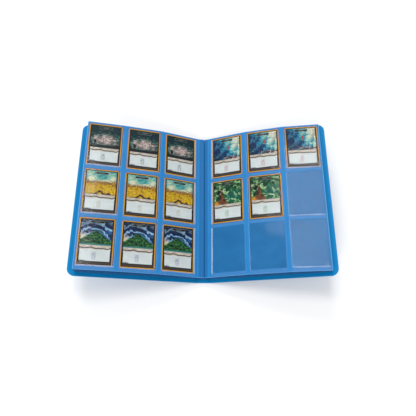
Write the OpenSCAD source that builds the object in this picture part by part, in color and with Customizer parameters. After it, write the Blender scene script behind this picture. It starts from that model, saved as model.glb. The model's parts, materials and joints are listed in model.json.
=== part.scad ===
// Open side-loading card album: a thin plastic cover with two living hinges,
// a stack of fixed pocket pages on each side, and cards in the pages on show.
// X runs across the open album, Y along the spine, Z up. The origin is the
// centre of the spine panel's underside. Each page carries a frame of its own:
// s runs from the spine to the fore-edge, and n stands off its pocket face.

/* [Cover] */
// Width of one cover panel, from its crease to the fore-edge
cover_w = 236; // [236:0.5:245]
// Height of the cover along the spine
cover_h = 306; // [302:1:320]
// Thickness of the cover sheet
cover_t = 1.2; // [0.8:0.1:1.6]
// Radius of the cover's outer corners
cover_r = 14; // [4:1:20]
// Width of the spine panel between the two creases
spine_w = 26; // [26:0.5:30]
// Angle that each cover panel rests at, above the table
cover_tilt = 16.1; // [12:0.1:16.5]

/* [Cards and pockets] */
// Width of a card
card_w = 63; // [59:1:63]
// Height of a card
card_h = 88; // [84:1:89]
// Thickness of a card
card_t = 0.32; // [0.25:0.01:0.35]
// Radius of a card's corners
card_r = 3; // [2:0.5:4]
// Distance between pocket columns
col_pitch = 75.3; // [75:0.1:75.6]
// Distance between pocket rows
row_pitch = 96.9; // [96:0.1:98]
// Clearance above and below a card in its pocket
card_gap = 0.2; // [0.15:0.05:0.25]
// Thickness of the clear pocket film
film_t = 0.2; // [0.15:0.05:0.3]
// Lift of a card towards the pocket's mouth, in degrees
card_lift = 0.8; // [0.7:0.1:1]

/* [Pages] */
// Thickness of a page
page_t = 0.6; // [0.5:0.05:0.7]
// Height of a page along the spine
page_h = 294.2; // [294:0.1:296]
// Distance that the pages sit above the middle of the cover
page_shift = 1; // [0:0.5:2]
// Radius of a page's outer corners
page_r = 2.5; // [1:0.5:4]
// Page edge above the top row of cards
head_margin = 4.7; // [4:0.1:6]
// Page panel between its fold line and the first card
root_margin = 4; // [3.5:0.1:4.5]
// Page between the outermost card and the fore-edge
fore_margin = 4; // [3:0.1:4.5]
// Pages under the left page on show
left_under = 12; // [6:1:12]
// Pages under the right page on show
right_under = 6; // [3:1:6]

/* [Hidden] */
$fn = 48;
columns = ["inner", "middle", "outer"];

// The crease axis lies in the middle of the cover sheet's thickness
crease_z = cover_t / 2;
crease_clear = 1.1;          // cover panel's edge to the crease axis

// Pocket details, along s unless they say otherwise
pocket_end = 1;              // card to the welded end of its pocket
pocket_lip = 2.5;            // film past the card on the mouth side
pocket_side = 1.2;           // card to the welds above and below it
weld_w = 1.2;                // width of a weld
seam_clear = 0.4;            // gap at a seam, where a page flexes

// Widths of a page's three flat panels, which meet in the middle of the seams
seam_gap = col_pitch - card_w;
panel_w = [root_margin + card_w + seam_gap / 2, col_pitch, fore_margin + card_w + seam_gap / 2];
page_w = panel_w[0] + panel_w[1] + panel_w[2];
card_s = [root_margin, seam_gap / 2, seam_gap / 2];

page_y0 = page_shift - page_h / 2;
top_card_y = page_y0 + page_h - head_margin - card_h;
end_h = card_gap + card_t + card_gap;

// Pages on show: fold line and the angle of each panel, spine to fore-edge
left_fold = [14.55, 16.6];
left_angles = [23.9, 17, 14.3];
right_fold = [14.7, 16.7];
right_angles = [22, 16, 7.5];

// Binding strip and the flexible margins between it and the pages on show
binding_w = 14;
binding_t = 1.8;
margin_t = 0.5;
left_margin = [[10.2, 4.6], [12.9, 15.1]];
right_margin = [[10.8, 8.9], [12.8, 15.2]];

// Pages under those on show: room over the cover, and under the top page
cover_room = 2;
top_room = 0.6;
page_step = 0.2;             // stagger of the fore-edges, page to page

function dir(a) = [cos(a), sin(a)];
function fold_point(fold, angles, i) =
    i == 0 ? fold : fold_point(fold, angles, i - 1) + panel_w[i - 1] * dir(angles[i - 1]);
function cover_top(x) =
    crease_z + cover_t / 2 / cos(cover_tilt) + (x - spine_w / 2) * tan(cover_tilt);

// Fold line's and fore-edge's heights of page k of the n pages under the top page
function under_z(low, high, k, n) =
    low + cover_room + (high - top_room - low - cover_room) * k / (n + 1);
function under_page(fold, angles, k, n) =
    let (tip = fold_point(fold, angles, 3),
         tip_x = tip[0] + page_step * (n + 1 - k),
         tip_z = under_z(cover_top(tip[0]), tip[1], k, n),
         root_z = under_z(cover_top(spine_w / 2 + 2), fold[1], k, n),
         angle = asin((tip_z - root_z) / page_w))
    [tip_x - page_w * cos(angle), root_z, angle];

// Puts its children, drawn with x as s and z as n, on a panel of the right side
module on_panel(at, angle) {
    translate([at[0], 0, at[1]]) rotate([0, -angle, 0]) children();
}

// The left side is the right side's mirror image
module on_side(left) {
    mirror([left ? 1 : 0, 0, 0]) children();
}

// Flat outline w wide and h high with two round corners at its outer end
module free_edge_outline(w, h, r) {
    square([w - r, h]);
    translate([w - r - 0.01, r]) square([r + 0.01, h - 2 * r]);
    for (y = [r, h - r]) translate([w - r, y]) circle(r);
}

module rounded_card() {
    translate([card_r, 0]) square([card_w - 2 * card_r, card_h]);
    translate([0, card_r]) square([card_w, card_h - 2 * card_r]);
    for (x = [card_r, card_w - card_r], y = [card_r, card_h - card_r])
        translate([x, y]) circle(card_r);
}

module page_colour() {
    color([0.18, 0.52, 0.78]) children();
}

module cover_colour() {
    color([0, 0.46, 0.72]) children();
}

// Spine panel: flat base with a round bead along each crease
module spine_panel() {
    cover_colour() {
        translate([-spine_w / 2, -cover_h / 2, 0]) cube([spine_w, cover_h, cover_t]);
        for (x = [-1, 1] * spine_w / 2)
            translate([x, 0, crease_z]) rotate([90, 0, 0])
                cylinder(r = cover_t / 2, h = cover_h, center = true);
    }
}

// Welded strip that holds the page roots on the spine panel
module binding_strip() {
    page_colour()
        translate([-binding_w / 2, page_y0, cover_t]) cube([binding_w, page_h, binding_t]);
}

module cover_panel(left) {
    cover_colour() on_side(left) on_panel([spine_w / 2, crease_z], cover_tilt)
        translate([crease_clear, -cover_h / 2, -cover_t / 2])
            linear_extrude(cover_t) free_edge_outline(cover_w - crease_clear, cover_h, cover_r);
}

// Page under the one on show: one flat sheet with its pockets pressed flat
module under_sheet(left, k) {
    p = left ? under_page(left_fold, left_angles, k, left_under)
             : under_page(right_fold, right_angles, k, right_under);
    page_colour() on_side(left) on_panel([p[0], p[1]], p[2])
        translate([0, page_y0, -page_t]) linear_extrude(page_t)
            free_edge_outline(page_w, page_h, page_r);
}

// Places children on panel i of the page on show at the left or right
module on_show(left, i) {
    fold = left ? left_fold : right_fold;
    angles = left ? left_angles : right_angles;
    on_side(left) on_panel(fold_point(fold, angles, i), angles[i]) children();
}

module show_panel(left, i) {
    start = i == 0 ? 0 : seam_clear;
    page_colour() on_show(left, i) translate([start, page_y0, -page_t])
        linear_extrude(page_t)
            if (i == 2) free_edge_outline(panel_w[i] - start, page_h, page_r);
            else square([panel_w[i] - start, page_h]);
}

// Flexible margin between the binding strip and a page on show
module show_margin(left) {
    ends = left ? left_margin : right_margin;
    run = ends[1] - ends[0];
    page_colour() on_side(left) on_panel(ends[0], atan2(run[1], run[0]))
        translate([0, page_y0, -margin_t / 2]) cube([norm(run), page_h, margin_t]);
}

// Wedge between the page's face and a plane that rises towards the spine
module pocket_wedge(s0, s1, h_end, y0, h_y, drop) {
    rise = (s1 - s0) * tan(card_lift);
    translate([0, y0 + h_y, 0]) rotate([90, 0, 0]) linear_extrude(h_y)
        polygon([[s0, -drop], [s1, -drop], [s1, h_end], [s0, h_end + rise]]);
}

// One clear film pocket, welded on three sides and open towards the spine
module pocket(s_card, y_card) {
    mouth = s_card - pocket_lip;
    end = s_card + card_w + pocket_end;
    y0 = y_card - pocket_side;
    h_y = card_h + 2 * pocket_side;
    difference() {
        pocket_wedge(mouth, end + weld_w, end_h + film_t, y0 - weld_w, h_y + 2 * weld_w, 0);
        pocket_wedge(mouth - 1, end, end_h + weld_w * tan(card_lift), y0, h_y, 1);
    }
}

module show_pockets(left, i) {
    color([0.72, 0.8, 0.94, 0.4]) on_show(left, i)
        for (row = [0:2]) pocket(card_s[i], top_card_y - row * row_pitch);
}

// A card lies in its pocket with its inner edge lifted towards the mouth
module card(left, row, i) {
    color([0.85, 0.6, 0.2]) on_show(left, i)
        translate([card_s[i] + card_w, top_card_y - row * row_pitch, card_gap])
            rotate([0, card_lift, 0]) translate([-card_w, 0, 0])
                linear_extrude(card_t) rounded_card();
}

spine_panel();
binding_strip();
cover_panel(true);  // front_cover
cover_panel(false);  // back_cover

// Pages 1 to 12 lie on the front cover, page 1 lowest
under_sheet(true, 1);  // page_01
under_sheet(true, 2);  // page_02
under_sheet(true, 3);  // page_03
under_sheet(true, 4);  // page_04
under_sheet(true, 5);  // page_05
under_sheet(true, 6);  // page_06
under_sheet(true, 7);  // page_07
under_sheet(true, 8);  // page_08
under_sheet(true, 9);  // page_09
under_sheet(true, 10);  // page_10
under_sheet(true, 11);  // page_11
under_sheet(true, 12);  // page_12

// Page 13 is on show at the left, and page 14 at the right
show_margin(true);  // page_13_margin
show_panel(true, 0);  // page_13_inner
show_panel(true, 1);  // page_13_middle
show_panel(true, 2);  // page_13_outer
show_pockets(true, 0);  // page_13_inner_pockets
show_pockets(true, 1);  // page_13_middle_pockets
show_pockets(true, 2);  // page_13_outer_pockets
show_margin(false);  // page_14_margin
show_panel(false, 0);  // page_14_inner
show_panel(false, 1);  // page_14_middle
show_panel(false, 2);  // page_14_outer
show_pockets(false, 0);  // page_14_inner_pockets
show_pockets(false, 1);  // page_14_middle_pockets
show_pockets(false, 2);  // page_14_outer_pockets

// Pages 15 to 20 lie on the back cover, page 20 lowest
under_sheet(false, 6);  // page_15
under_sheet(false, 5);  // page_16
under_sheet(false, 4);  // page_17
under_sheet(false, 3);  // page_18
under_sheet(false, 2);  // page_19
under_sheet(false, 1);  // page_20

// Cards in the left page, three rows of three
card(true, 0, 0);  // left_card_top_inner
card(true, 0, 1);  // left_card_top_middle
card(true, 0, 2);  // left_card_top_outer
card(true, 1, 0);  // left_card_centre_inner
card(true, 1, 1);  // left_card_centre_middle
card(true, 1, 2);  // left_card_centre_outer
card(true, 2, 0);  // left_card_bottom_inner
card(true, 2, 1);  // left_card_bottom_middle
card(true, 2, 2);  // left_card_bottom_outer

// Cards in the right page, which has four empty pockets
card(false, 0, 0);  // right_card_top_inner
card(false, 0, 1);  // right_card_top_middle
card(false, 0, 2);  // right_card_top_outer
card(false, 1, 0);  // right_card_centre_inner
card(false, 1, 1);  // right_card_centre_middle
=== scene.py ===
import json
import math

import bpy
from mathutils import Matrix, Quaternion, Vector


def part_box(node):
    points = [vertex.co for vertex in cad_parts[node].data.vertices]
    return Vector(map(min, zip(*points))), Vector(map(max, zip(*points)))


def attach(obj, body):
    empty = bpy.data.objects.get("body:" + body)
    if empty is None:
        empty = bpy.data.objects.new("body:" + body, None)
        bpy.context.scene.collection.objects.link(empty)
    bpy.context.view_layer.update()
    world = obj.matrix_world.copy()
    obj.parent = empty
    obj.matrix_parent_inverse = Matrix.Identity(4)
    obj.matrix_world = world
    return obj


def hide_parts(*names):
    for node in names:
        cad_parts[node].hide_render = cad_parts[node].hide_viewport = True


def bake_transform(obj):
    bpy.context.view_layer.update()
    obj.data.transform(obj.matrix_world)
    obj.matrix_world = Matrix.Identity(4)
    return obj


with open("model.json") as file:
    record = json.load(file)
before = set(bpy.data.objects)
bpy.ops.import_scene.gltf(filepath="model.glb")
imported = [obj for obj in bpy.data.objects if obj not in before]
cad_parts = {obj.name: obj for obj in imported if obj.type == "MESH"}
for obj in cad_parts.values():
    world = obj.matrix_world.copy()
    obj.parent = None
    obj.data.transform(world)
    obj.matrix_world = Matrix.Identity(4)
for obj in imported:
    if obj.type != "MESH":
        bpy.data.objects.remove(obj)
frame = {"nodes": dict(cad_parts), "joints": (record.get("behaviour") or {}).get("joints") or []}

# An open side-loading card album. Lengths are in metres and MM is a millimetre.
# A sheet is drawn on a path: s runs along it from the spine, n stands off its upper face, and y is
# the album's own Y. The left side is the right side's mirror image, so its side is -1.
MM = 0.001
scene = bpy.context.scene
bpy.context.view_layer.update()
joints = {j["name"]: j for j in frame["joints"]}


# ---- places, from the frame

def section(node):
    """The vertices of a CAD node as (distance from the spine plane, height)."""
    return [Vector((abs(v.co.x), v.co.z)) for v in frame["nodes"][node].data.vertices]


def root_corner(node):
    return min(section(node), key=lambda c: c.x)


def tip_corner(node):
    return max(section(node), key=lambda c: c.y)


def side_of(node):
    low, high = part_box(node)
    return 1 if low.x + high.x > 0 else -1


def heights(node):
    low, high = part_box(node)
    return low.y, high.y


def turned(direction):
    """A 2-D direction turned a quarter to the left, which is a sheet's normal."""
    return Vector((-direction.y, direction.x))


class Path:
    """A sheet's upper line in its side's own (distance, height) plane, by arc length from s0."""

    def __init__(self, points, side, s0=0.0):
        self.points = [Vector(p) for p in points]
        self.side = side
        self.s = [s0]
        for a, b in zip(self.points, self.points[1:]):
            self.s.append(self.s[-1] + (b - a).length)
        run = [(b - a).normalized() for a, b in zip(self.points, self.points[1:])]
        middle = [(a + b).normalized() for a, b in zip(run, run[1:])]
        self.run = [run[0]] + middle + [run[-1]]

    def at(self, s, y, n):
        """The point of the row frame at s along the path, y, and n off it."""
        last = len(self.s) - 2
        i = next((k for k in range(last + 1) if s <= self.s[k + 1]), last)
        t = (s - self.s[i]) / (self.s[i + 1] - self.s[i])
        p = self.points[i].lerp(self.points[i + 1], t)
        direction = self.run[i].lerp(self.run[i + 1], max(0.0, min(1.0, t))).normalized()
        p = p + turned(direction) * n
        return Vector((self.side * p.x, y, p.y))


def curve(a, b, c, d, steps):
    """Points of a cubic Bezier curve."""
    out = []
    for k in range(steps + 1):
        t = k / steps
        u = 1 - t
        out.append(a * u ** 3 + b * 3 * u * u * t + c * 3 * u * t * t + d * t ** 3)
    return out


# ---- meshes

SHARP_FROM = math.radians(40)    # edges bent more than this are shaded sharp
RIM_SHARE = 0.8              # share of a page's thickness where its upper rim begins
EDGE_BAND = 1.3 * MM         # faces nearer to the outline than this take the edge's material
UV_UNIT = 10                 # the UV is in tenths of a metre
# Slots of a page's materials: bare core, rim of its upper face (a painted highlight), pocket, weld,
# and rim below (painted shade)
CORE, RIM, POCKET, WELD, LOWER_RIM = range(5)


def smooth(t):
    t = max(0.0, min(1.0, t))
    return t * t * (3 - 2 * t)


def evenly(a, b, count):
    return [a + (b - a) * k / count for k in range(count + 1)]


def make_object(name, points, faces, face_materials, uvs, materials):
    mesh = bpy.data.meshes.new(name)
    mesh.from_pydata(points, [], faces)
    for m in materials:
        mesh.materials.append(m)
    mesh.polygons.foreach_set("material_index", face_materials)
    mesh.polygons.foreach_set("use_smooth", [True] * len(faces))
    layer = mesh.uv_layers.new(name="UVMap")
    for loop in mesh.loops:
        layer.data[loop.index].uv = uvs[loop.vertex_index]
    mesh.update()
    mesh.set_sharp_from_angle(angle=SHARP_FROM)
    obj = bpy.data.objects.new(name, mesh)
    scene.collection.objects.link(obj)
    return obj


class Build:
    """Collects vertices, with the sheet's own (s, y) as UV in tenths of a metre, and faces."""

    def __init__(self, path):
        self.path = path
        self.points, self.uvs, self.faces, self.kinds = [], [], [], []

    def vertex(self, s, y, n):
        self.points.append(self.path.at(s, y, n))
        self.uvs.append((s * UV_UNIT, y * UV_UNIT))
        return len(self.points) - 1

    def middle(self, first, second):
        """The (s, y) half-way between two vertices."""
        (a, b), (c, d) = self.uvs[first], self.uvs[second]
        return (a + c) / (2 * UV_UNIT), (b + d) / (2 * UV_UNIT)

    def face(self, corners, kind=0, flip=False):
        if flip != (self.path.side < 0):
            corners = corners[::-1]
        self.faces.append(corners)
        self.kinds.append(kind)

    def done(self, name, materials):
        return make_object(name, self.points, self.faces, self.kinds, self.uvs, materials)


def plain(s, y):
    """0 everywhere, for a flat face or one in its sheet's first material."""
    return 0


def edge_kind(share, materials):
    """A page's rim has one material along its upper face and another below, on a page on show a
    painted highlight above and painted shade below; a cover's has one.
    """
    return LOWER_RIM if share < RIM_SHARE and len(materials) > LOWER_RIM else RIM


def leaf(name, path, stations, length, y_span, radius, cross, top, bottom, profile, materials,
         arc_steps, zone=plain, under=plain):
    """A sheet with a free outer end and two round corners there. top and bottom give n at (s, y).
    profile lists (inset from the outline, share from bottom 0 to top 1, extra n) round the edge.
    zone and under give the material of the upper and the lower face at (s, y)."""
    build = Build(path)
    y_mid, half = sum(y_span) / 2, (y_span[1] - y_span[0]) / 2
    columns = len(stations) + arc_steps
    arcs = [math.pi / 2 * (k + 1) / arc_steps for k in range(arc_steps)]
    count = len(cross) - 1

    def outline(d):
        lower = [(s, d - half) for s in stations]
        lower += [(length - radius + (radius - d) * math.sin(a),
                   radius - half - (radius - d) * math.cos(a)) for a in arcs]
        tip = [(length - d, c * (half - radius)) for c in cross[1:-1]]
        return lower + tip + [(s, -y) for s, y in lower[::-1]]

    def ring(d, share, extra):
        out = []
        for s, y in outline(d):
            n = bottom(s, y) + (top(s, y) - bottom(s, y)) * share + extra
            out.append(build.vertex(s, y_mid + y, n))
        return out

    rings = [ring(*p) for p in profile]
    size = len(rings[0])
    for a, b, (d, _, _), (e, share, _) in zip(rings, rings[1:], profile, profile[1:]):
        kind = edge_kind(share, materials) if max(d, e) <= EDGE_BAND else CORE
        for k in range(size - 1):
            build.face([a[k], b[k], b[k + 1], a[k + 1]], kind)

    def fill(edge, d, level, flip):
        here = under if flip else zone
        grid = []
        border = outline(d)
        for c in range(columns):
            s, y_edge = border[c]
            row = []
            for j, share in enumerate(cross):
                if j == 0:
                    row.append(edge[c])
                elif j == count:
                    row.append(edge[size - 1 - c])
                elif c == columns - 1:
                    row.append(edge[columns + j - 1])
                else:
                    y = -share * y_edge
                    row.append(build.vertex(s, y_mid + y, level(s, y)))
            grid.append(row)
        for a, b in zip(grid, grid[1:]):
            for j in range(count):
                kind = here(*build.middle(a[j], b[j + 1]))
                build.face([a[j], b[j], b[j + 1], a[j + 1]], kind, flip)
        return grid[0]

    upper = fill(rings[0], profile[0][0], top, False)
    lower = fill(rings[-1], profile[-1][0], bottom, True)
    cap = upper + [r[-1] for r in rings[1:-1]] + lower[::-1] + [r[0] for r in rings[-2:0:-1]]
    build.face(cap)
    return build.done(name, materials)


def ribbon(name, path, stations, y_span, cross, top, bottom, profile, materials, under=plain):
    """A sheet cut off at both ends of s, with the same edge profile along its head and foot.
    under gives the material of its lower face at (s, y)."""
    build = Build(path)
    y_mid, half = sum(y_span) / 2, (y_span[1] - y_span[0]) / 2
    inner, outer = profile[0][0], profile[-1][0]
    sections = []
    for s in stations:
        rim = [(c * (half - inner), 1, 0) for c in cross]
        rim += [(half - d, share, extra) for d, share, extra in profile[1:-1]]
        rim += [(-c * (half - outer), 0, 0) for c in cross]
        rim += [(d - half, share, extra) for d, share, extra in profile[-2:0:-1]]
        row = []
        for y, share, extra in rim:
            n = bottom(s, y) + (top(s, y) - bottom(s, y)) * share + extra
            row.append(build.vertex(s, y_mid + y, n))
        sections.append(row)
    size = len(sections[0])
    edge = range(len(cross) - 1, len(cross) + len(profile) - 2)
    far_edge = range(2 * len(cross) + len(profile) - 3, size)
    for a, b in zip(sections, sections[1:]):
        for k in range(size):
            kind = CORE
            if k in edge:
                kind = edge_kind(profile[k - edge.start + 1][1], materials)
            if k in far_edge:
                kind = edge_kind(profile[max(1, far_edge.stop - 1 - k)][1], materials)
            if edge.stop <= k < far_edge.start:
                kind = under(*build.middle(a[k], b[k + 1]))
            build.face([a[k], b[k], b[(k + 1) % size], a[(k + 1) % size]], kind)
    build.face(sections[0][::-1])
    build.face(sections[-1])
    return build.done(name, materials)


def slab(name, path, s_lines, y_lines, top, bottom, kind, materials):
    """A thin sheet over a grid of s and y lines, closed all round.
    kind gives the material at (s, y)."""
    build = Build(path)
    faces = []
    for level in (top, bottom):
        faces.append([[build.vertex(s, y, level(s, y)) for y in y_lines] for s in s_lines])
    upper, lower = faces
    rows, columns = len(s_lines), len(y_lines)
    for i in range(rows - 1):
        for j in range(columns - 1):
            here = kind((s_lines[i] + s_lines[i + 1]) / 2, (y_lines[j] + y_lines[j + 1]) / 2)
            build.face([upper[i][j], upper[i + 1][j], upper[i + 1][j + 1], upper[i][j + 1]], here)
            build.face([lower[i][j], lower[i][j + 1], lower[i + 1][j + 1], lower[i + 1][j]], here)
    for i in range(rows - 1):
        for j, flip in ((0, True), (columns - 1, False)):
            build.face([upper[i][j], upper[i + 1][j], lower[i + 1][j], lower[i][j]], RIM, flip)
    for j in range(columns - 1):
        for i, flip in ((0, False), (rows - 1, True)):
            build.face([upper[i][j], upper[i][j + 1], lower[i][j + 1], lower[i][j]], RIM, flip)
    return build.done(name, materials)


# ---- materials

def linear(r, g, b):
    """An sRGB colour of 0 to 255 as linear values, opaque."""
    def one(c):
        c /= 255
        return c / 12.92 if c <= 0.04045 else ((c + 0.055) / 1.055) ** 2.4
    return (one(r), one(g), one(b), 1.0)


class Paint:
    """A material with one Principled shader, and short ways to add the nodes that feed it.
    A colour is an sRGB triple of 0 to 255, and a single number in a ramp is a linear grey.
    colour is the running result of lay()."""

    def __init__(self, name, specular=0.5, **shader):
        self.mat = bpy.data.materials.new(name)
        self.mat.use_nodes = True
        self.tree = self.mat.node_tree
        self.tree.nodes.clear()
        self.shader = self.put("BsdfPrincipled", Specular_IOR_Level=specular, **shader)
        out = self.put("OutputMaterial")
        self.tree.links.new(self.shader.outputs[0], out.inputs[0])
        self.uv = self.put("UVMap").outputs[0]

    def feed(self, socket, value):
        if isinstance(value, bpy.types.NodeSocket):
            self.tree.links.new(value, socket)
        else:
            socket.default_value = linear(*value) if isinstance(value, tuple) else value

    def put(self, kind, settings=(), **inputs):
        node = self.tree.nodes.new("ShaderNode" + kind)
        for key, value in dict(settings).items():
            setattr(node, key, value)
        self.set(node, **inputs)
        return node

    def set(self, node=None, **inputs):
        """Feeds inputs of a node, or of the shader."""
        for key, value in inputs.items():
            target = self.shader if node is None else node
            self.feed(target.inputs[key.replace("_", " ")], value)

    def calc(self, operation, *values, clamp=False):
        node = self.put("Math", {"operation": operation, "use_clamp": clamp})
        for socket, value in zip(node.inputs, values):
            self.feed(socket, value)
        return node.outputs[0]

    def step(self, value, low, high):
        """0 below low, 1 above high, and smooth between them."""
        node = self.put("MapRange", {"interpolation_type": "SMOOTHSTEP"}, Value=value,
                        From_Min=low, From_Max=high)
        return node.outputs[0]

    def band(self, value, low, high, soft):
        rise = self.step(value, low - soft, low + soft)
        fall = self.step(value, high - soft, high + soft)
        return self.calc("SUBTRACT", rise, fall, clamp=True)

    def both(self, a, b):
        return self.calc("MULTIPLY", a, b)

    def plus(self, a, b):
        return self.calc("ADD", a, b)

    def minus(self, a, b):
        return self.calc("SUBTRACT", a, b)

    def away(self, a, b):
        return self.calc("ABSOLUTE", self.minus(a, b))

    def noise(self, scale, detail=3, rough=0.5, twist=0, x=1, y=1, shift=0):
        """Noise over the UV, which is first multiplied by x and y and moved by shift."""
        at = self.put("Mapping", Vector=self.uv)
        at.inputs["Scale"].default_value = (x, y, 1)
        at.inputs["Location"].default_value = (shift, shift * 0.7, shift * 0.3)
        node = self.put("TexNoise", Vector=at.outputs[0], Scale=scale, Detail=detail,
                        Roughness=rough, Distortion=twist)
        return node.outputs[0]

    def ramp(self, value, *stops):
        node = self.put("ValToRGB", Fac=value)
        band = node.color_ramp
        while len(band.elements) < len(stops):
            band.elements.new(0.5)
        for element, (place, colour) in zip(band.elements, stops):
            element.position = place
            element.color = linear(*colour) if isinstance(colour, tuple) else (colour,) * 4
        return node.outputs[0]

    def vary(self, value, high, **ends):
        """Sets inputs that go from one end to the other while value goes from 0.3 to high."""
        for key, (first, last) in ends.items():
            self.set(**{key: self.ramp(value, (0.3, first), (high, last))})

    def lay(self, mask, colour, share=1):
        """Lays a colour over what is painted so far, by share where mask is 1."""
        mask = self.both(mask, share) if share < 1 else mask
        self.colour = self.mix(mask, self.colour, colour)

    def mix(self, share, a, b):
        node = self.put("Mix", {"data_type": "RGBA"})
        for k, value in ((0, share), (6, a), (7, b)):
            self.feed(node.inputs[k], value)
        return node.outputs[2]

    def bump(self, height, distance, strength):
        node = self.put("Bump", Height=height, Strength=strength, Distance=distance)
        self.set(Normal=node.outputs[0])

    def xy(self):
        """The UV's two parts in millimetres."""
        node = self.put("SeparateXYZ", Vector=self.uv)
        return [self.both(node.outputs[k], 1 / (UV_UNIT * MM)) for k in (0, 1)]


def cover_material():
    """Satin polypropylene: a fine leathery grain, faint flow marks and a few rubbed places."""
    p = Paint("cover_polypropylene", IOR=1.49, specular=0.12)
    flow = p.noise(1.4, 4, 0.55, 0.6, y=0.35)
    p.colour = p.ramp(flow, (0.3, (0, 120, 180)), (0.7, (2, 129, 191)))
    rub = p.step(p.noise(26, 5, 0.7), 0.62, 0.8)
    p.lay(rub, (120, 180, 215), 0.12)
    grain = p.noise(900, 2, 0.6)
    pebble = p.put("TexVoronoi", Vector=p.uv, Scale=520).outputs["Distance"]
    height = p.plus(p.both(grain, 0.6), p.both(pebble, 0.5))
    p.set(Base_Color=p.colour, Roughness=p.ramp(flow, (0.2, 0.4), (0.8, 0.52)))
    p.bump(height, 0.00005, 0.35)
    return p.mat


def marked(name, noise, high, colours, rough=None, alpha=None, bump=None, slow=None, **shader):
    """A plastic with its colour, roughness and alpha between two ends that follow one noise.
    Alpha and bump follow the second noise, slow, if there is one."""
    p = Paint(name, **shader)
    marks = p.noise(*noise)
    wave = p.noise(*slow) if slow else marks
    p.vary(marks, high, Base_Color=colours)
    if rough:
        p.vary(marks, 0.7, Roughness=rough)
    if alpha:
        p.vary(wave, 0.7, Alpha=alpha)
    if bump:
        p.bump(wave, *bump)
    return p.mat


def page_material():
    """The blue core of a page: faint clouding, pressed flow lines and painted shade near its thin
    root in the gutter.
    """
    p = Paint("page_blue_core", specular=0.2)
    cloud = p.noise(2.2, 4, 0.5, 0.4)
    p.colour = p.ramp(cloud, (0.3, (26, 116, 180)), (0.7, (34, 124, 188)))
    # painted shade: the core is coloured darker within a few millimetres of its root, where the
    # gutter lies in shadow
    root = p.step(p.xy()[0], -6.2, -7.6)
    p.lay(root, (18, 96, 156), 0.8)
    dust = p.step(p.noise(160, 4, 0.75), 0.66, 0.8)
    p.lay(dust, (120, 170, 215), 0.16)
    p.set(Base_Color=p.colour)
    line = p.noise(9, 2, 0.4, y=60)
    p.vary(line, 0.7, Roughness=(0.42, 0.55))
    p.bump(line, 0.00005, 0.25)
    return p.mat


def film_weld_material():
    """Film fused to the page between and around the pockets, where it turns a little milky; its
    pale lavender is partly a painted sheen.
    """
    p = Paint("pocket_film_weld")
    knurl = p.put("TexVoronoi", Vector=p.uv, Scale=130).outputs["Distance"]
    cloud = p.noise(30, 3, 0.6)
    # painted sheen: the weld is coloured a pale lavender, lighter than the page beneath
    p.vary(cloud, 0.75, Base_Color=((92, 154, 214), (118, 170, 222)))
    p.vary(cloud, 0.7, Roughness=(0.2, 0.34), Alpha=(0.09, 0.16))
    p.bump(knurl, 0.00006, 0.4)
    return p.mat


def film_edge_highlight_material():
    """The cut edge of the film, painted pale and hardly clear as a highlight where it catches the
    light.
    """
    p = Paint("pocket_film_edge_highlight")
    marks = p.noise(60, 2)
    p.vary(marks, 0.8, Base_Color=((126, 166, 208), (182, 206, 232)))
    p.vary(marks, 0.7, Roughness=(0.14, 0.26))
    p.set(Alpha=p.ramp(marks, (0.2, 0.5), (0.8, 0.72)))
    return p.mat


def binding_material():
    """The welded strip at the spine, ribbed by the welding tool."""
    p = Paint("binding_weld", Roughness=0.38)
    p.vary(p.noise(20, 3), 0.7, Base_Color=((18, 98, 164), (28, 112, 178)))
    wave = p.put("TexWave", {"bands_direction": "Y"}, Vector=p.uv, Scale=60)
    p.bump(wave.outputs["Fac"], 0.0002, 0.5)
    return p.mat


# ---- card faces: own generic landscapes, from gradients and noise, left in p.colour

def around(p, x, y, centre_x, centre_y, wide, high):
    """Distance from a point, in an ellipse's own half widths."""
    dx = p.calc("DIVIDE", p.minus(x, centre_x), wide)
    dy = p.calc("DIVIDE", p.minus(y, centre_y), high)
    return p.calc("SQRT", p.plus(p.both(dx, dx), p.both(dy, dy)))


def shaken(p, value, noise, amount):
    """value moved by noise, by up to half of amount each way."""
    return p.plus(value, p.both(p.minus(noise, 0.5), amount))


def misty_hills(p, x, y):
    """A pale cloud with dark scrolls in a teal dusk, over black ground, with bare trunks."""
    soft = p.noise(13, 4, 0.6, 1.2)
    away = shaken(p, around(p, x, y, 33, 54, 40, 18), soft, 2)
    p.colour = p.ramp(away, (0, (232, 214, 206)), (0.4, (176, 158, 152)),
                      (0.62, (100, 134, 124)), (0.8, (30, 96, 90)), (1, (4, 44, 46)))
    swirl = p.noise(6, 1.5, 0.5, 2.4, y=2.2)
    line = p.both(p.band(swirl, 0.47, 0.54, 0.014), p.step(away, 1.2, 0.9))
    p.lay(line, (44, 26, 24), 0.95)
    trunk = p.step(p.noise(30, 2, y=0.1, shift=3), 0.53, 0.58)
    trunk = p.both(p.both(trunk, p.step(x, 34, 48)), p.step(y, 76, 70))
    p.lay(trunk, (20, 40, 38), 0.7)
    ground = p.step(shaken(p, y, soft, 16), 46, 41)
    p.lay(ground, (18, 20, 16))
    stone = around(p, x, y, 13, 50, 3, 4.5)
    p.lay(p.step(shaken(p, stone, soft, 1), 1, 0.7), (14, 16, 16))


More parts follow.
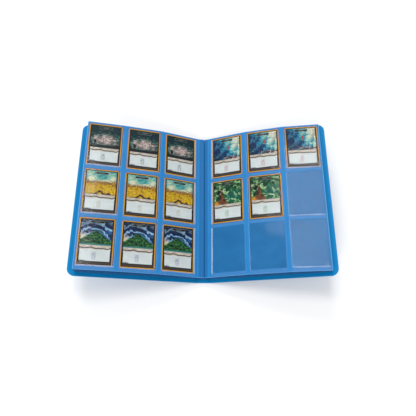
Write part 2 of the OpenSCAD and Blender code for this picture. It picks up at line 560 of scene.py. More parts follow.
def golden_field(p, x, y):
    """A yellow field with a russet hedge under a sky of cream cloud and teal."""
    cloud = p.noise(5, 4, 0.6, 0.8, y=1.7)
    sky = p.ramp(shaken(p, cloud, p.calc("DIVIDE", y, 130), -0.7), (0.36, (60, 154, 156)),
                 (0.46, (142, 196, 176)), (0.56, (226, 226, 190)))
    crop = p.noise(17, 4, 0.7, 1.6, y=1.3, shift=5)
    crop = p.ramp(crop, (0.36, (96, 54, 14)), (0.44, (186, 138, 14)),
                  (0.54, (232, 196, 22)), (0.66, (214, 168, 60)))
    jag = p.noise(44, 3, 0.6, y=0.35)
    edge = shaken(p, shaken(p, y, jag, 26), cloud, 10)
    hedge = p.mix(p.step(jag, 0.44, 0.58), (176, 130, 52), (112, 62, 28))
    p.colour = p.mix(p.step(edge, 56, 60), crop, hedge)
    p.lay(p.step(edge, 63, 66), sky)
    for peak_x, peak_y, spread in ((30, 46.5, 0.75), (46, 42.5, 0.8)):
        side = p.away(x, peak_x)
        rock = shaken(p, p.plus(y, p.both(side, spread)), jag, 3)
        rock = p.both(p.band(rock, peak_y - 4.6, peak_y, 0.5), p.step(side, 13, 9))
        p.lay(rock, (44, 22, 22), 0.95)
    p.lay(p.step(shaken(p, y, jag, 6), 38.5, 36.5), (40, 28, 16))


def night_swirls(p, x, y):
    """A night sky of long curling strokes over a green hill, a low glow and a pale waterline."""
    soft = p.noise(7, 2, 0.5, 1.6)
    curl = around(p, x, y, 24, 46, 1, 0.8)
    wave = p.calc("SINE", p.both(shaken(p, curl, soft, 26), 0.5))
    sky = p.ramp(p.calc("MULTIPLY_ADD", wave, 0.5, 0.5), (0, (10, 20, 44)),
                 (0.5, (18, 56, 108)), (0.84, (48, 118, 180)), (1, (176, 214, 234)))
    sky = p.mix(p.both(p.step(shaken(p, y, soft, 30), 70, 84), 0.85), sky, (14, 18, 30))
    glow = p.step(shaken(p, around(p, x, y, 3, 46, 15, 20), soft, 1), 1.1, 0.3)
    sky = p.mix(p.both(glow, 0.85), sky, (222, 206, 168))
    leaf_noise = p.noise(24, 4, 0.65)
    hill = p.ramp(leaf_noise, (0.4, (2, 14, 10)), (0.5, (10, 60, 30)), (0.6, (66, 142, 52)))
    slope = p.away(x, 31)
    line = shaken(p, p.minus(66, p.both(slope, 0.72)), leaf_noise, 12)
    under = p.step(p.minus(line, y), -0.8, 0.8)
    rim = p.both(p.band(p.minus(y, line), 0, 1.6, 0.7), p.step(x, 26, 36))
    p.colour = p.mix(under, sky, hill)
    p.lay(rim, (70, 150, 214), 0.8)
    shore = p.band(shaken(p, y, leaf_noise, 3), 36, 40, 0.6)
    p.lay(shore, (44, 128, 132), 0.8)


def deep_sea(p, x, y):
    """A deep blue sea that opens to bright cloud, with a small red sail over dark rocks."""
    soft = p.noise(8, 4, 0.6, 1.8)
    across = p.calc("DIVIDE", p.plus(x, p.both(y, 0.55)), 105)
    across = shaken(p, across, soft, 0.9)
    p.colour = p.ramp(across, (0.28, (2, 10, 46)), (0.5, (4, 58, 112)),
                      (0.64, (20, 134, 160)), (0.76, (118, 200, 196)), (0.9, (244, 236, 204)))
    curl = around(p, x, y, -12, 98, 1, 1.2)
    wave = p.calc("SINE", p.both(shaken(p, curl, soft, 30), 0.42))
    p.lay(p.step(wave, 0.6, 0.98), (96, 184, 204), 0.35)
    p.lay(p.step(wave, -0.5, -0.95), (8, 34, 66), 0.5)
    rocks = p.step(shaken(p, y, soft, 24), 45, 40)
    p.lay(rocks, (14, 34, 50), 0.9)
    dots = p.noise(30, 1, shift=9)
    near = p.both(p.band(y, 37, 45, 1), p.step(x, 22, 30))
    p.lay(p.both(p.step(dots, 0.6, 0.64), near), (226, 224, 214))
    p.lay(p.both(p.step(dots, 0.37, 0.34), near), (196, 60, 40))
    sail = shaken(p, around(p, x, y, 34, 64, 2, 5), soft, 1.6)
    p.lay(p.step(sail, 1.1, 0.7), (178, 58, 46))


def green_forest(p, x, y):
    """Light through leaves and dark boughs, a brown trunk, warm ground and a teal distance."""
    leaves = p.noise(12, 4, 0.66, 1.2)
    p.colour = p.ramp(leaves, (0.41, (2, 18, 14)), (0.48, (8, 72, 38)),
                      (0.55, (58, 150, 72)), (0.62, (206, 234, 176)))
    haze = p.step(shaken(p, around(p, x, y, 44, 54, 17, 13), leaves, 3.6), 1.1, 0.6)
    p.lay(haze, (16, 110, 96), 0.6)
    light = p.step(shaken(p, around(p, x, y, 17, 66, 22, 15), leaves, 5), 1, 0.6)
    light = p.both(light, p.step(leaves, 0.5, 0.57))
    p.lay(light, (206, 232, 176), 0.85)
    bough = p.noise(9, 1, 0.5, 1.8, y=1.6, shift=6)
    bough = p.both(p.band(bough, 0.48, 0.53, 0.01), p.step(y, 48, 56))
    p.lay(bough, (12, 24, 18), 0.9)
    bend = p.calc("ABSOLUTE", shaken(p, p.minus(x, 19), p.noise(9, x=0.2), 30))
    flare = p.minus(bend, p.both(p.step(y, 54, 38), 7))
    trunk = p.both(p.step(flare, 4.6, 3), p.step(y, 72, 62))
    bark = p.mix(p.step(leaves, 0.44, 0.58), (40, 22, 14), (136, 78, 34))
    p.lay(trunk, bark)
    warm = p.step(shaken(p, around(p, x, y, 9, 38, 9, 6.5), leaves, 4), 1, 0.6)
    p.lay(warm, (208, 142, 30))


def card_material(picture, accent):
    """A card's printed face. The UV is the card's own width and height in tenths of a metre."""
    p = Paint("print_" + picture.__name__, Roughness=0.5, specular=0.2)
    x, y = p.xy()
    picture(p, x, y)
    art = p.colour
    speck = p.noise(90, 3, 0.6)

    def box(left, right, foot, head, soft_x, soft_y):
        return p.both(p.band(x, left, right, soft_x), p.band(y, foot, head, soft_y))

    p.colour = p.ramp(speck, (0.3, (214, 146, 4)), (0.7, (236, 172, 18)))
    ink = p.ramp(speck, (0.3, (14, 16, 14)), (0.7, (34, 36, 32)))
    p.lay(box(1.9, 61.1, 1.8, 86.2, 0.15, 0.15), ink)
    p.lay(box(4.4, 58.6, 36, 84.6, 0.3, 0.3), art)
    p.lay(box(3.4, 59.6, 3.2, 6.8, 0.8, 1), (78, 66, 54), 0.8)
    cream = p.ramp(p.noise(14, 3, y=3), (0.35, (184, 174, 158)), (0.65, (226, 218, 204)))
    p.lay(box(4.8, 58.2, 28, 37.2, 0.5, 0.5), cream)
    torn_y = shaken(p, y, p.noise(10, 2, 0.5, 0.4, y=0.2), 9)
    shade = p.both(p.band(x, 4.6, 58.4, 0.5), p.band(torn_y, 30.8, 32.8, 0.7))
    p.lay(shade, (42, 34, 28), 0.95)
    past_x = p.calc("MAXIMUM", p.minus(p.away(x, 31.5), 24), 0)
    past_y = p.calc("MAXIMUM", p.minus(p.away(y, 18.8), 8.6), 0)
    rounded = p.step(p.plus(p.both(past_x, past_x), p.both(past_y, past_y)), 8, 5.6)
    paper = p.ramp(speck, (0.3, (214, 226, 226)), (0.7, (230, 238, 238)))
    p.lay(p.both(box(5.4, 57.6, 8.2, 29.4, 0.3, 0.3), rounded), paper)
    dots = p.step(p.noise(74, 1, y=1.2, shift=4), 0.52, 0.58)
    p.lay(p.both(box(26, 33.5, 12, 25, 1, 1.5), dots), accent)
    gaps = p.step(p.noise(60, 1, y=0.4, shift=7), 0.42, 0.5)
    p.lay(p.both(box(5.6, 16, 7.2, 10.4, 0.4, 0.3), gaps), (22, 24, 24))
    p.lay(box(18.3, 44.7, 77.6, 83.4, 0.8, 0.35), (120, 132, 126), 0.5)
    p.lay(box(19.5, 43.5, 78.8, 82.2, 0.8, 0.35), (14, 18, 18))
    p.lay(box(26.5, 36.5, 79.8, 81.4, 1.2, 0.3), (150, 152, 148), 0.45)
    p.set(Base_Color=p.colour)
    p.bump(speck, 0.00002, 0.3)
    return p.mat


def card_back_material():
    """A plain back: a dark border round a lattice of small lozenges."""
    p = Paint("card_back", Roughness=0.36, Coat_Weight=0.3, Coat_Roughness=0.15)
    x, y = p.xy()
    waves = [p.calc("SINE", p.calc(kind, p.both(x, 0.9), p.both(y, 0.9)))
             for kind in ("ADD", "SUBTRACT")]
    lattice = p.step(p.both(*waves), -0.1, 0.25)
    lattice = p.mix(lattice, (52, 62, 84), (82, 96, 122))
    inside = p.both(p.band(x, 4, 59, 0.2), p.band(y, 4, 84, 0.2))
    p.set(Base_Color=p.mix(inside, (30, 34, 44), lattice))
    return p.mat


COVER, PAGE, BINDING = cover_material(), page_material(), binding_material()
# The trimmed edge of the cover sheet, paler where the knife has stretched the plastic
COVER_EDGE = marked("cover_trimmed_edge", (5, 3, 0.6, 0, 60, 60), 0.75,
                    ((0, 120, 182), (12, 134, 196)), bump=(0.00004, 0.5), specular=0.12, IOR=1.49,
                    Roughness=0.42)
# The welded edge of core and film along a page's upper face, painted paler as a highlight where it
# catches the light
PAGE_EDGE_HIGHLIGHT = marked("page_welded_edge_highlight", (70, 3, 0.6), 0.75, ((54, 124, 186), (84, 148, 206)),
                   bump=(0.00004, 0.4), Roughness=0.3)
# The cut edges of a page's three layers, painted dark as the shade between its neighbours
STACK_EDGE_SHADE = marked("page_stack_edge_shade", (60, 3, 0.6, 0, 1, 0.3), 0.75,
                    ((12, 72, 122), (28, 96, 152)), bump=(0.00005, 0.5), specular=0.2,
                    Roughness=0.5)
# Film fused to the page, a little paler than the core
PAGE_WELD = marked("page_weld", (30, 3, 0.6), 0.75, ((50, 136, 202), (66, 148, 210)),
                   (0.24, 0.38), bump=(0.00006, 0.4), specular=0.4)
FILM_MARKS, FILM_WAVES = (55, 3, 0.6), (3, 3, 0.5, 0.5, 1, 2.2)
# A page seen through the glossy film of an empty pocket
PAGE_POCKET = marked("page_under_film", FILM_MARKS, 0.8, ((30, 113, 173), (40, 124, 186)),
                     (0.055, 0.085), bump=(0.0005, 0.3), slow=FILM_WAVES)
# Clear glossy film over a pocket. It takes a little light from what lies under it
FILM = marked("pocket_clear_film", FILM_MARKS, 0.8, ((2, 22, 42), (10, 40, 70)), (0.05, 0.08),
              (0.08, 0.12), (0.0005, 0.2), FILM_WAVES, specular=0.6)
# The film's bend along the foot of a pocket, with a painted highlight: a soft pale line as if it
# catches the light
FILM_FOLD_HIGHLIGHT = marked("pocket_film_fold_highlight", (24, 3, 0.5, 0, 0.2), 0.8,
                   ((132, 172, 222), (178, 202, 236)), (0.16, 0.28), (0.34, 0.52), specular=0.4)
# Its loose lip at the mouth, bent up, with a painted highlight: pale and less clear where it
# catches the light
FILM_LIP_HIGHLIGHT = marked("pocket_film_lip_highlight", (20, 3, 0.5, 0, 1, 0.2), 0.8,
                  ((164, 192, 226), (206, 220, 238)), (0.14, 0.26), (0.3, 0.46), specular=0.8)
# White card stock
CARD_EDGE = marked("card_stock_edge", (200, 3, 0.7), 0.7, ((206, 204, 196), (236, 234, 228)),
                   bump=(0.00003, 0.5), Roughness=0.8, IOR=1.45)
CARD_BACK = card_back_material()
PAGE_PARTS = [PAGE, PAGE_EDGE_HIGHLIGHT, PAGE_POCKET, PAGE_WELD, STACK_EDGE_SHADE]
# pages under the ones on show take the painted shade on their upper rim too
UNDER_PARTS = [PAGE, STACK_EDGE_SHADE] + PAGE_PARTS[2:]
FILM_PARTS = [FILM, film_edge_highlight_material(), film_weld_material(), FILM_FOLD_HIGHLIGHT, FILM_LIP_HIGHLIGHT]
PRINTS = {
    ("left", "top"): card_material(misty_hills, (90, 96, 98)),
    ("left", "centre"): card_material(golden_field, (184, 176, 150)),
    ("left", "bottom"): card_material(night_swirls, (120, 120, 170)),
    ("right", "top"): card_material(deep_sea, (190, 90, 110)),
    ("right", "centre"): card_material(green_forest, (110, 160, 90)),
}


# ---- cover

COVER_T = 2 * abs(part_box("spine_panel")[1].z - joints["back_cover_hinge"]["pos_m"][2])
HINGE_T = 0.45 * MM
HINGE_HALF = 0.7 * MM        # flat of the living hinge, each side of its axis
HINGE_RUN = 1.2 * MM         # length over which the sheet thins down to it
HEM = 1.6 * MM               # cover sheet that lies on the spine's own plane
INNER_SHARE = 0.35           # of that thinning, the share taken off the inner face
CREASE_LINES = [-HEM, -1.1 * MM, -HINGE_HALF, 0, HINGE_HALF, 1.1 * MM, 1.5 * MM, 2 * MM, 4 * MM]

# The cover's edge, from the embossed line on the inside round to the outside face
COVER_PROFILE = [(d * MM, share, n * MM) for d, share, n in (
    (6.2, 1, 0), (5.7, 1, 0), (5.4, 1, -0.22), (4.9, 1, -0.22), (4.6, 1, 0), (4, 1, 0), (0.6, 1, 0),
    (0.3, 0.94, 0), (0.1, 0.8, 0), (0, 0.5, 0), (0.1, 0.2, 0), (0.3, 0.06, 0), (0.6, 0, 0))]
EVEN_CROSS = evenly(-1, 1, 16)


def hinge_depth(s):
    """Thickness taken off both faces together near the crease at s 0."""
    t = (abs(s) - HINGE_HALF) / HINGE_RUN
    return (COVER_T - HINGE_T) * (1 - smooth(t))


def cover_sheet(node):
    x, _, z = joints[node + "_hinge"]["pos_m"]
    axis = Vector((abs(x), z))
    tip = tip_corner(node)
    direction = (tip - root_corner(node)).normalized()
    length = (tip - axis).dot(direction)
    points = [axis - Vector((HEM, 0)), axis, axis + direction * length]
    path = Path(points, side_of(node), -HEM)
    half = COVER_T / 2
    radius = corner_radius(node)
    stations = CREASE_LINES + evenly(10 * MM, length - radius, 14)
    obj = leaf(node + "_sheet", path, stations, length, heights(node), radius, EVEN_CROSS,
               lambda s, y: half - INNER_SHARE * hinge_depth(s),
               lambda s, y: (1 - INNER_SHARE) * hinge_depth(s) - half,
               COVER_PROFILE, [COVER, COVER_EDGE], 12)
    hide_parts(node)
    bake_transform(obj)


def corner_radius(node):
    """Radius of a leaf's outer corners: how far short of the tip its head edge ends."""
    tip = tip_corner(node)
    _, high = heights(node)
    on_head = [v.co for v in frame["nodes"][node].data.vertices if v.co.y > high - 0.01 * MM]
    last = max(on_head, key=lambda co: abs(co.x))
    top = max(v.z for v in on_head)
    return (tip - Vector((abs(last.x), top))).length


cover_sheet("front_cover")
cover_sheet("back_cover")

spine_low, spine_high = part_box("spine_panel")
spine_x = joints["back_cover_hinge"]["pos_m"][0] - HEM
spine = ribbon("spine_sheet", Path([(-spine_x, COVER_T), (spine_x, COVER_T)], 1, -spine_x),
               evenly(-spine_x, spine_x, 8), (spine_low.y, spine_high.y), EVEN_CROSS,
               lambda s, y: 0.0, lambda s, y: -COVER_T, COVER_PROFILE[5:], [COVER, COVER_EDGE])
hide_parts("spine_panel")
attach(spine, "root")

strip_low, strip_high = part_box("binding_strip")
RIB_DEPTH = 0.3 * MM
SHOULDER_FROM, SHOULDER_DROP = 6 * MM, 0.9 * MM


def strip_top(s, y):
    """The binding strip's upper face: ribs along the spine, between two rounded shoulders."""
    ribs = RIB_DEPTH * (0.5 + 0.5 * math.cos(s / MM * math.pi))
    return -ribs - SHOULDER_DROP * smooth((abs(s) - SHOULDER_FROM) / MM)


strip = ribbon("binding_weld_strip",
               Path([(strip_low.x, strip_high.z), (strip_high.x, strip_high.z)], 1, strip_low.x),
               evenly(strip_low.x, strip_high.x, 28), (strip_low.y, strip_high.y),
               evenly(-1, 1, 40), strip_top, lambda s, y: strip_low.z - strip_high.z,
               [(0.5 * MM, 1, 0), (0, 0.6, 0), (0, 0, 0)], [BINDING, BINDING])
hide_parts("binding_strip")
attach(strip, "root")


# ---- pages under the ones on show

PAGE_T = 0.6 * MM
MARGIN_T = 0.25 * MM
LEFT_UNDER = [f"page_{k:02d}" for k in range(1, 13)]
RIGHT_UNDER = [f"page_{k:02d}" for k in range(20, 14, -1)]
ROOT_STEP = 0.72 * MM        # distance between the places where the page margins are welded down
RIGHT_CLOSER = 0.92          # the right side's places are this much closer together
ROOT_RISE = 0.45 * MM        # how much higher each place is than the one before
ROOT_INSET = 0.4 * MM        # first place, in from the binding strip's edge
ROOT_SINK = 0.5 * MM         # and below its top
SHOWN_LIFT = 4.4 * MM        # a shown page's margin stands up this far before it turns over
SCORES = (-10.5 * MM, -7.5 * MM, -3.2 * MM)     # lines pressed along a shown page's margin
SCORE_DEPTH, SCORE_HALF = 0.3 * MM, 1.3 * MM
MARGIN_STEPS = 12            # pieces of a hidden page's margin
EASE = 0.6 * MM              # length over which film rises from a weld
# A page's edge: two films welded to the core show as three fine beads
PAGE_PROFILE = [(d * MM, share, 0) for d, share in (
    (1.2, 1), (0.5, 1), (0.12, 0.97), (0, 0.84), (0.1, 0.7), (0.02, 0.5), (0.1, 0.3), (0, 0.16),
    (0.12, 0.03), (0.5, 0))]
ROWS = [heights(f"left_card_{row}_inner") for row in ("top", "centre", "bottom")]
POCKET_SIDE = 1.2 * MM       # film over the page past a card's head and foot
RELIEF = 0.1 * MM            # height of an empty pocket's film over its welds
COLUMNS = ("inner", "middle", "outer")


def fold_points(page):
    """The upper ends and folds of a shown page, in its side's own plane."""
    seams = [joints[f"page_{page}_{c}_seam"]["pos_m"] for c in COLUMNS[1:]]
    return [root_corner(f"page_{page}_inner")] + [Vector((abs(x), z)) for x, _, z in seams] + [
        tip_corner(f"page_{page}_outer")]


def pocket_span(page, index):
    """Where a column's film starts and ends along its panel."""
    a, b = fold_points(page)[index:index + 2]
    direction = (b - a).normalized()
    corners = section(f"page_{page}_{COLUMNS[index]}_pockets")
    along = [(c - a).dot(direction) for c in corners]
    return min(along), max(along)


FOLDS_S = [0.0]
for fold, following in zip(fold_points("14"), fold_points("14")[1:]):
    FOLDS_S.append(FOLDS_S[-1] + (following - fold).length)
POCKETS_S = [tuple(FOLDS_S[k] + end for end in pocket_span("14", k)) for k in range(3)]
page_foot, page_head = heights("page_14_inner")
page_middle = (page_foot + page_head) / 2
PAGE_LINES = [page_foot + 1.2 * MM]
for row_low, row_high in ROWS[::-1]:
    PAGE_LINES += [row_low - e * MM for e in (1.8, 1.2, 0.6, 0)]
    PAGE_LINES += [(row_low + row_high) / 2]
    PAGE_LINES += [row_high + e * MM for e in (0, 0.6, 1.2, 1.8)]
PAGE_LINES += [page_head - 1.2 * MM]
PAGE_CROSS = [(y - page_middle) / (PAGE_LINES[-1] - page_middle) for y in PAGE_LINES]


def pocket_lines(first, last):
    """Stations between two places along a page, close together where the welds are."""
    lines = [first, last]
    for start, end in POCKETS_S:
        lines += [start - 0.6 * MM, start, start + 0.6 * MM, end - 1.8 * MM, end - 1.2 * MM, end]
        lines += evenly(start + 8 * MM, end - 8 * MM, 5)
    return sorted(s for s in lines if first <= s <= last)


def over_row(y):
    """How far y is inside the pockets' nearest row, below 0 between the rows."""
    return max(min(y - low, high - y) for low, high in ROWS) + POCKET_SIDE


def page_zone(s, y):
    """The material slot of a page's face: its bare core, a pocket or a weld."""
    for start, end in POCKETS_S:
        if start < s < end:
            return POCKET if over_row(y) > 0 and s < end - POCKET_SIDE else WELD
    return CORE


def relief(s, y):
    """How far an empty pocket stands off the page."""
    for start, end in POCKETS_S:
        if start < s < end:
            along = smooth((end - POCKET_SIDE - s) / EASE) * smooth((s - start) / EASE)
            return RELIEF * along * smooth(over_row(y) / EASE)
    return 0.0


def margin_points(root, direction, weld):
    """A page's flexible margin, from where it is welded down to the root of the page."""
    reach = (root - weld).length
    return curve(weld, weld + Vector((-0.05, 0.5)) * reach * 0.8,
                 root - direction * reach * 0.55, root, MARGIN_STEPS)[:-1]


def leaf_page(node, weld):
    """A page under the ones on show, with its flexible margin and flat, empty pockets."""
    root, tip = root_corner(node), tip_corner(node)
    direction = (tip - root).normalized()
    points = margin_points(root, direction, weld) + [root, root + direction * 2 * MM, tip]
    run = sum((b - a).length for a, b in zip(points[:MARGIN_STEPS], points[1:]))
    path = Path(points, side_of(node), -run)
    length = (tip - root).length
    radius = corner_radius(node)
    stations = path.s[:MARGIN_STEPS] + pocket_lines(0, length - radius)

    def bottom(s, y):
        return -MARGIN_T - (PAGE_T - MARGIN_T) * smooth(s / (2 * MM)) - relief(s, y)

    obj = leaf(node + "_sheet", path, stations, length, heights(node), radius, PAGE_CROSS, relief,
               bottom, PAGE_PROFILE, UNDER_PARTS, 4, page_zone, page_zone)
    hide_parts(node)
    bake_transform(obj)


weld_z = strip_high.z - ROOT_SINK
welds = {}
for k, page in enumerate(LEFT_UNDER + ["page_13"]):
    welds[page] = Vector((-(strip_low.x + ROOT_INSET + k * ROOT_STEP), weld_z + k * ROOT_RISE))
for k, page in enumerate(RIGHT_UNDER + ["page_14"]):
    welds[page] = Vector((strip_high.x - ROOT_INSET - k * ROOT_STEP * RIGHT_CLOSER,
                          weld_z + k * 2 * ROOT_RISE))
for page in LEFT_UNDER + RIGHT_UNDER:
    leaf_page(page, welds[page])


# ---- pages on show

SEAM_SOFT = 3 * MM           # width over which a page bends at a column seam


def margin_curve(weld, fold, direction):
    """A shown page's margin: up out of the gutter, and over a wide shoulder to the page."""
    top = weld + Vector((0, SHOWN_LIFT))
    shoulder = top + Vector((2.6 * MM, 2.2 * MM))
    return [weld] + curve(top, shoulder, fold - direction * 9 * MM, fold, 40)


def scored(s, y):
    """The upper face of a margin, pressed in along its score lines."""
    return -SCORE_DEPTH * max(smooth(1 - abs(s - line) / SCORE_HALF) for line in SCORES)


def show_page(page, margin_body):
    """The page on show on one side, as sheets that meet at its margin's fold and two seams."""
    bodies = [f"page_{page}_{c}" for c in COLUMNS]
    side = side_of(bodies[0])
    folds = fold_points(page)
    panels = [Path(folds[k:k + 2], side, FOLDS_S[k]) for k in range(3)]
    span = heights(bodies[0])
    margin = margin_curve(welds[f"page_{page}"], folds[0], (folds[1] - folds[0]).normalized())
    run = sum((b - a).length for a, b in zip(margin, margin[1:]))
    margin_path = Path(margin, side, -run)
    flex = [k * 0.8 * MM for k in range(6)]

    def thin_root(s, y):
        thick = MARGIN_T + (PAGE_T - MARGIN_T) * smooth(s / (4 * MM))
        return scored(s, y) - thick - relief(s, y)

    def lines(index):
        first, last = FOLDS_S[index:index + 2]
        near = [first + s for s in flex]
        rest = [s for s in pocket_lines(first, last) if s > near[-1] + 0.1 * MM]
        return sorted(set(near + rest))

    def cut(node, path, stations, top, bottom, under=page_zone):
        return ribbon(node + "_sheet", path, stations, span, PAGE_CROSS, top, bottom,
                      PAGE_PROFILE, PAGE_PARTS, under)

    if margin_body:
        sheet = cut(margin_body, margin_path, margin_path.s, scored,
                    lambda s, y: scored(s, y) - MARGIN_T, plain)
        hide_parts(f"page_{page}_margin")
        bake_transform(sheet)
        inner = cut(bodies[0], panels[0], lines(0), plain, thin_root)
        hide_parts(bodies[0])
        panels[0].at(0, 0, 0)
        panels[0].at(flex[-1], 0, 0)
        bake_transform(inner)
    else:
        whole = Path(margin + [folds[1]], side, -run)
        inner = cut(bodies[0], whole, margin_path.s[:-1] + lines(0), scored, thin_root)
        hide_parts(bodies[0], f"page_{page}_margin")
        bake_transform(inner)

    def under(s, y):
        return -PAGE_T - relief(s, y)

    middle = cut(bodies[1], panels[1], lines(1), plain, under)
    radius = corner_radius(bodies[2])
    before_corner = FOLDS_S[3] - radius
    outer = leaf(bodies[2] + "_sheet", panels[2],
                 [s for s in lines(2) if s < before_corner] + [before_corner], FOLDS_S[3], span,
                 radius, PAGE_CROSS, plain, under, PAGE_PROFILE, PAGE_PARTS, 4, plain, page_zone)
    for k, piece in ((1, middle), (2, outer)):
        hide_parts(bodies[k])
        panels[k].at(FOLDS_S[k], 0, 0)
        panels[k].at(FOLDS_S[k] + SEAM_SOFT, 0, 0)
        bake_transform(piece)


# ---- pocket films

FILM_T = 0.12 * MM
FILM_LIFT = math.tan(math.radians(0.8))     # rise of a pocket's film from its closed end
WELD_N = 0.05 * MM           # height of the film where it is welded to the page
CARD_ROOM = 0.74 * MM        # inner height of a pocket at its closed end
GAPE = 0.12 * MM             # what the mouth stands open beyond that, halfway along it
# the loose lip is drawn with a painted highlight, paler and less clear than the film
LIP = {"inner": 3.2 * MM, "middle": 0.5 * MM, "outer": 0.5 * MM}    # width of the loose lip
# painted highlight: the pale rim stands for the light caught along the lip
RIM_WIDTH = 1.7 * MM         # pale rim along that lip in the inner column
# How far the painted highlight along a pocket's foot reaches past its weld
FOOT_HIGHLIGHT = {"inner": -0.2 * MM, "middle": -0.2 * MM, "outer": 1.5 * MM}
CORNER_BEAD = 0.4 * MM       # height of the bead where a mouth meets a weld
BEAD_WIDTH = 0.7 * MM
MOUTH_LINES = [d * MM for d in (0, 0.15, 0.5, 0.9, 1.2, 1.7, 2.4, 3.2, 4, 7, 12)]
END_LINES = [d * MM for d in (4, 3, 2.6, 2.2, 1.8, 1.5, 1.2, 0.9, 0.4, 0)]
ROW_LINES = [d * MM for d in (-2.4, -1.8, -1.2, -0.8, -0.4, 0, 0.6, 1.5, 3, 6, 12, 20)]
# Slots of a film's materials: over a pocket, cut edge with a painted highlight, weld, painted
# highlight along the foot's bend, loose lip with a painted highlight
CLEAR, CUT_EDGE_HIGHLIGHT, FUSED, BEND_HIGHLIGHT, LOOSE_LIP_HIGHLIGHT = range(5)


def pocket_film(page, index):
    """One sheet of film over a column's three pockets, welded between and beyond them."""
    column = COLUMNS[index]
    body = f"page_{page}_{column}"
    a, b = fold_points(page)[index:index + 2]
    direction = (b - a).normalized()
    mouth, end = pocket_span(page, index)
    path = Path([a + direction * mouth, a + direction * end], side_of(body))
    width = end - mouth
    foot, head = heights(f"page_{page}_inner")
    s_lines = MOUTH_LINES + evenly(20 * MM, width - 6 * MM, 5) + [width - d for d in END_LINES]
    y_lines = [foot + 0.6 * MM, foot + 3 * MM]
    for low_y, high_y in ROWS[::-1]:
        y_lines += [low_y + d for d in ROW_LINES]
        y_lines += evenly(low_y + 28 * MM, high_y - 28 * MM, 3)
        y_lines += [high_y - d for d in ROW_LINES[::-1]]
    y_lines += [head - 0.6 * MM]
    seams = [y for low_y, high_y in ROWS for y in (low_y - 0.6 * MM, high_y + 0.6 * MM)]

    def height(s, y):
        """Height of the film's underside over the page."""
        room = 0.0
        for low_y, high_y in ROWS:
            inside = min(y - low_y, high_y - y) + POCKET_SIDE
            if inside > 0:
                lift = smooth(inside / POCKET_SIDE)
                span = (y - low_y) / (high_y - low_y)
                bow = math.sin(math.pi * max(0.0, min(1.0, span)))
                gape = GAPE * math.sqrt(bow) * math.exp(-s / (5 * MM)) if bow > 0 else 0.0
                room = lift * (CARD_ROOM + (width - s) * FILM_LIFT + gape)
        closed = smooth((width - POCKET_SIDE - s) / POCKET_SIDE)
        near = min(abs(y - seam) for seam in seams)
        bead = math.exp(-(s * s + near * near) / BEAD_WIDTH ** 2)
        return WELD_N + room * closed + CORNER_BEAD * bead

    def kind(s, y):
        """The film's material slot."""
        inside = over_row(y)
        if s > width - 1.8 * MM or inside < 0.1 * POCKET_SIDE:
            return FUSED
        if s < LIP[column]:
            # the inner column's lip has a painted highlight rim at its mouth and ends; elsewhere
            # the lip takes the paler painted highlight
            on_rim = column == "inner" and (s < RIM_WIDTH or inside < POCKET_SIDE)
            return CUT_EDGE_HIGHLIGHT if on_rim else LOOSE_LIP_HIGHLIGHT
        at_foot = min(abs(y - low_y) for low_y, _ in ROWS) < 2 * POCKET_SIDE
        # painted highlight along the foot, only in the outer column and on page 13, where the light
        # falls
        if at_foot and inside < POCKET_SIDE + FOOT_HIGHLIGHT[column]:
            return BEND_HIGHLIGHT if column == "outer" or page == "13" else FUSED
        return CLEAR

    obj = slab(body + "_film", path, s_lines, y_lines,
               lambda s, y: height(s, y) + FILM_T, height, kind, FILM_PARTS)
    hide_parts(body + "_pockets")
    if body == "page_13_inner":
        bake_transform(obj)
    else:
        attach(obj, body)


for page, margin_body in (("13", "page_13_margin"), ("14", None)):
    show_page(page, margin_body)
    for index in range(3):
        pocket_film(page, index)


# ---- cards

CARD_T = 0.32 * MM
CARD_R = 3 * MM
CARD_SIZE = (63 * MM, 88 * MM)
CARD_BEVEL = 0.06 * MM
CORNER_STEPS = 6
PRINTED, CUT, BACK = range(3)      # slots of a card's materials


def card_piece(node):
    """A printed card: face, cut edge and back, on the plane of its CAD node."""
    side_name, _, row, _ = node.split("_")
    side = side_of(node)
    foot = heights(node)[0]
    width, height = CARD_SIZE
    corners = section(node)
    top = max(corners, key=lambda c: c.y)
    span = top - min(corners, key=lambda c: c.y)
    # the span is the diagonal of the card's section
    angle = math.atan2(span.y, span.x) - math.atan2(CARD_T, width)
    direction = Vector((math.cos(angle), math.sin(angle)))
    build = Build(Path([top - direction * width, top], side))

    def ring(inset, n):
        out = []
        r = CARD_R - inset
        for corner_s, corner_y, turn in ((width, 0, -90), (width, height, 0), (0, height, 90),
                                         (0, 0, 180)):
            centre_s = corner_s - CARD_R if corner_s else CARD_R
            centre_y = corner_y - CARD_R if corner_y else CARD_R
            for k in range(CORNER_STEPS + 1):
                a = math.radians(turn + 90 / CORNER_STEPS * k)
                s, y = centre_s + r * math.cos(a), centre_y + r * math.sin(a)
                out.append(build.vertex(s, foot + y, n))
                # a print reads from its own left edge on both sides
                build.uvs[-1] = ((s if side > 0 else width - s) * UV_UNIT, y * UV_UNIT)
        return out

    rings = [ring(0.05 * MM, 0), ring(0, -CARD_BEVEL), ring(0, CARD_BEVEL - CARD_T),
             ring(0.05 * MM, -CARD_T)]
    size = len(rings[0])
    for a, b in zip(rings, rings[1:]):
        for k in range(size):
            build.face([a[k], b[k], b[(k + 1) % size], a[(k + 1) % size]], CUT)
    build.face(rings[0], PRINTED)
    build.face(rings[-1][::-1], BACK)
    obj = build.done(node + "_print", [PRINTS[(side_name, row)], CARD_EDGE, CARD_BACK])
    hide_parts(node)
    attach(obj, node)


for name in sorted(frame["nodes"]):
    if "_card_" in name:
        card_piece(name)


# ---- floor, light and camera

FLOOR_HALF = 4.0
FLOOR_Z = -0.2 * MM
WORLD_STRENGTH = 0.56
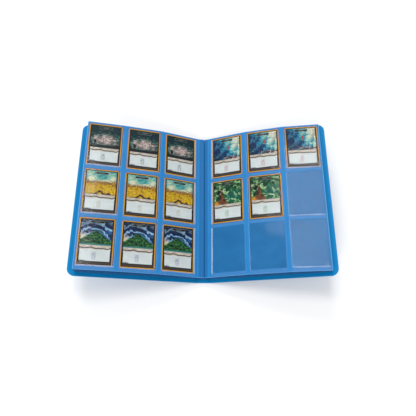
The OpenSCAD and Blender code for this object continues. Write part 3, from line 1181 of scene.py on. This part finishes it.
# The camera that was fitted to the corners of the cards in the photo
CAMERA_PLACE = (9.2 * MM, -323.35 * MM, 839.1 * MM)
CAMERA_TILT = math.radians(21.03)
CAMERA_LENS, SENSOR_WIDTH = 38.68, 36     # millimetres, as Blender has them


def floor():
    p = Paint("studio_floor", Roughness=0.9)
    p.vary(p.noise(3.0), 0.7, Base_Color=(0.93, 0.96))
    corners = [(0, 0), (1, 0), (1, 1), (0, 1)]
    points = [((2 * x - 1) * FLOOR_HALF, (2 * y - 1) * FLOOR_HALF, FLOOR_Z) for x, y in corners]
    obj = make_object("studio_floor", points, [(0, 1, 2, 3)], [0], corners, [p.mat])


def softbox(name, place, target, size, power, roll=0.0):
    """A lamp at place that faces target, with its size in metres, power in watts and roll."""
    light = bpy.data.lights.new(name, "AREA")
    light.shape = "RECTANGLE"
    light.size, light.size_y = size
    light.energy = power
    obj = bpy.data.objects.new(name, light)
    obj.location = place
    facing = (Vector(target) - Vector(place)).to_track_quat("-Z", "Y")
    obj.rotation_euler = (facing @ Quaternion((0, 0, 1), math.radians(roll))).to_euler()
    scene.collection.objects.link(obj)


floor()
softbox("key_softbox", (-0.3, 2.3, 2.0), (0, 0, 0), (1.4, 0.7), 31)
softbox("sheen_softbox", (0.10, 0.95, 2.8), (0.19, -0.05, 0.07), (0.55, 1.1), 16)
softbox("small_sheen_softbox", (-0.60, 1.14, 2.8), (0.12, -0.06, 0.06), (0.7, 0.7), 10, 45)
softbox("front_fill", (-0.7, -1.7, 1.5), (0, 0, 0), (1.6, 0.9), 23)
world = bpy.data.worlds.new("studio")
world.use_nodes = True
background = world.node_tree.nodes["Background"].inputs
background[0].default_value = (1, 1, 1, 1)
background[1].default_value = WORLD_STRENGTH
scene.world = world
scene.view_settings.view_transform = "Standard"

camera = bpy.data.cameras.new("camera")
camera.sensor_width = SENSOR_WIDTH
camera.lens = CAMERA_LENS
camera_obj = bpy.data.objects.new("camera", camera)
camera_obj.location = CAMERA_PLACE
camera_obj.rotation_euler = (CAMERA_TILT, 0, 0)
scene.collection.objects.link(camera_obj)
scene.camera = camera_obj
